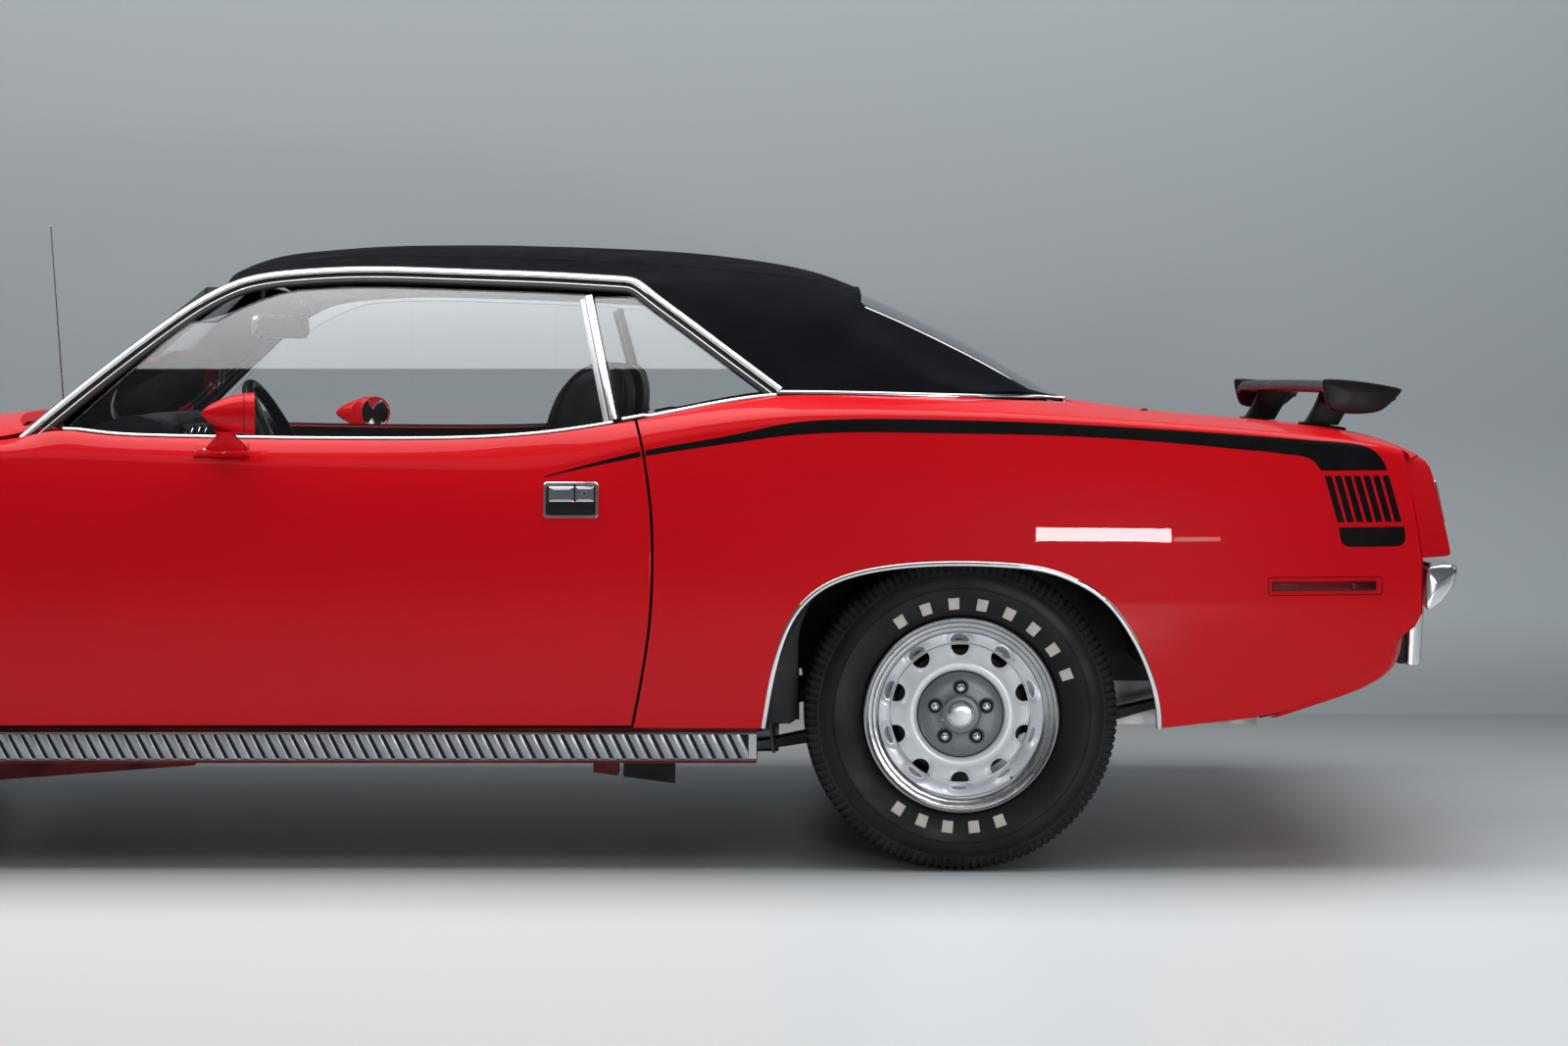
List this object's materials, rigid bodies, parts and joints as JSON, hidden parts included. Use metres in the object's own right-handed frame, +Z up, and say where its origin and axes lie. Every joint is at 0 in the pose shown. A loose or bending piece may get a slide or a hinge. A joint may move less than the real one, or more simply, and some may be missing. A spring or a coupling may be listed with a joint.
{
  "type": "muscle car",
  "caption": "Two-door hardtop muscle car with vinyl roof, rear wing, opening doors, hood and deck lid, steering and free-rolling wheels.",
  "frame": {"origin": "on the ground under the middle of the car's length and width", "axes": "+X towards the nose, +Y towards the car's left side, +Z up"},
  "size_m": [4.7419, 2.012, 1.4434],
  "materials": {
    "body_paint": "gloss orange-red paint",
    "roof_vinyl": "black grained vinyl",
    "window_glass": "lightly green tinted glass",
    "bright_trim": "polished chrome plate",
    "underbody_paint": "satin black underbody paint",
    "tyre_rubber": "black tyre rubber",
    "wheel_paint": "silver painted steel",
    "chassis_iron": "black painted iron",
    "engine_paint": "painted iron block",
    "radiator_black": "satin black",
    "bare_steel": "plain steel sheet",
    "seat_vinyl": "black seat vinyl",
    "interior_plastic": "black padded plastic",
    "satin_black": "satin black paint",
    "lamp_red": "red lamp lens",
    "lamp_clear": "clear lamp glass",
    "ribbed_aluminium": "ribbed bright aluminium"
  },
  "bodies": {
    "root": {"antenna": "bright_trim", "cowl": "body_paint", "dashboard": "interior_plastic", "engine": "engine_paint", "exhaust": "bare_steel", "floor_pan": "underbody_paint", "front_bumper": "bright_trim", "front_frame": "underbody_paint", "front_seats": "seat_vinyl", "front_suspension": "chassis_iron", "front_valance": "body_paint", "fuel_tank": "bare_steel", "grille": "satin_black", "headlamps": "lamp_clear", "leaf_springs": "chassis_iron", "left_fender": "body_paint", "left_quarter_panel": "body_paint", "nose_panel": "body_paint", "quarter_windows": "window_glass", "radiator": "radiator_black", "rear_axle": "chassis_iron", "rear_bumper": "bright_trim", "rear_deck_panel": "body_paint", "rear_floor": "underbody_paint", "rear_seat": "seat_vinyl", "rear_valance": "body_paint", "rear_window": "window_glass", "right_fender": "body_paint", "right_quarter_panel": "body_paint", "rocker_panels": "underbody_paint", "roof": "roof_vinyl", "sill_mouldings": "ribbed_aluminium", "tail_lamps": "lamp_red", "tail_panel": "body_paint", "transmission_tunnel": "underbody_paint", "wheelhouses": "underbody_paint", "windshield": "window_glass"},
    "left_door": {"left_door": "body_paint", "left_door_glass": "window_glass", "left_mirror": "body_paint"},
    "right_door": {"right_door": "body_paint", "right_door_glass": "window_glass", "right_mirror": "body_paint"},
    "hood": {"hood": "body_paint"},
    "deck_lid": {"deck_lid": "body_paint", "rear_wing": "satin_black"},
    "steering_wheel": {"steering_wheel": "interior_plastic"},
    "left_knuckle": {"left_knuckle": "chassis_iron"},
    "right_knuckle": {"right_knuckle": "chassis_iron"},
    "front_left_wheel": {"front_left_tyre": "tyre_rubber", "front_left_wheel": "wheel_paint"},
    "front_right_wheel": {"front_right_tyre": "tyre_rubber", "front_right_wheel": "wheel_paint"},
    "rear_left_wheel": {"rear_left_tyre": "tyre_rubber", "rear_left_wheel": "wheel_paint"},
    "rear_right_wheel": {"rear_right_tyre": "tyre_rubber", "rear_right_wheel": "wheel_paint"}
  },
  "joints": [
    {"name": "left_door_hinge", "type": "hinge", "parent": "root", "child": "left_door", "pos_m": [0.695, 0.923, 0.6], "axis": [0, 0, -1], "range_deg": [0, 65]},
    {"name": "right_door_hinge", "type": "hinge", "parent": "root", "child": "right_door", "pos_m": [0.695, -0.923, 0.6], "axis": [0, 0, 1], "range_deg": [0, 65]},
    {"name": "hood_hinge", "type": "hinge", "parent": "root", "child": "hood", "pos_m": [0.692, 0, 0.962], "axis": [0, -1, 0], "range_deg": [0, 55]},
    {"name": "deck_lid_hinge", "type": "hinge", "parent": "root", "child": "deck_lid", "pos_m": [-1.6, 0, 1], "axis": [0, 1, 0], "range_deg": [0, 70]},
    {"name": "left_steer", "type": "hinge", "parent": "root", "child": "left_knuckle", "pos_m": [1.441, 0.689, 0.332], "axis": [0, 0, 1], "range_deg": [-30, 30]},
    {"name": "right_steer", "type": "hinge", "parent": "root", "child": "right_knuckle", "pos_m": [1.441, -0.689, 0.332], "axis": [0, 0, 1], "range_deg": [-30, 30]},
    {"name": "steering_wheel_turn", "type": "hinge", "parent": "root", "child": "steering_wheel", "pos_m": [0.194, 0.38, 0.86], "axis": [-0.893, 0, 0.45], "range_deg": [-480.5, 480.5]},
    {"name": "front_left_spin", "type": "hinge", "parent": "left_knuckle", "child": "front_left_wheel", "pos_m": [1.441, 0.758, 0.332], "axis": [0, 1, 0], "continuous": true},
    {"name": "front_right_spin", "type": "hinge", "parent": "right_knuckle", "child": "front_right_wheel", "pos_m": [1.441, -0.758, 0.332], "axis": [0, 1, 0], "continuous": true},
    {"name": "rear_left_spin", "type": "hinge", "parent": "root", "child": "rear_left_wheel", "pos_m": [-1.302, 0.771, 0.332], "axis": [0, 1, 0], "continuous": true},
    {"name": "rear_right_spin", "type": "hinge", "parent": "root", "child": "rear_right_wheel", "pos_m": [-1.302, -0.771, 0.332], "axis": [0, 1, 0], "continuous": true}
  ],
  "couplings": [
    {"joint": "right_steer", "follows": "left_steer", "ratio": 1},
    {"joint": "steering_wheel_turn", "follows": "left_steer", "ratio": 16}
  ]
}
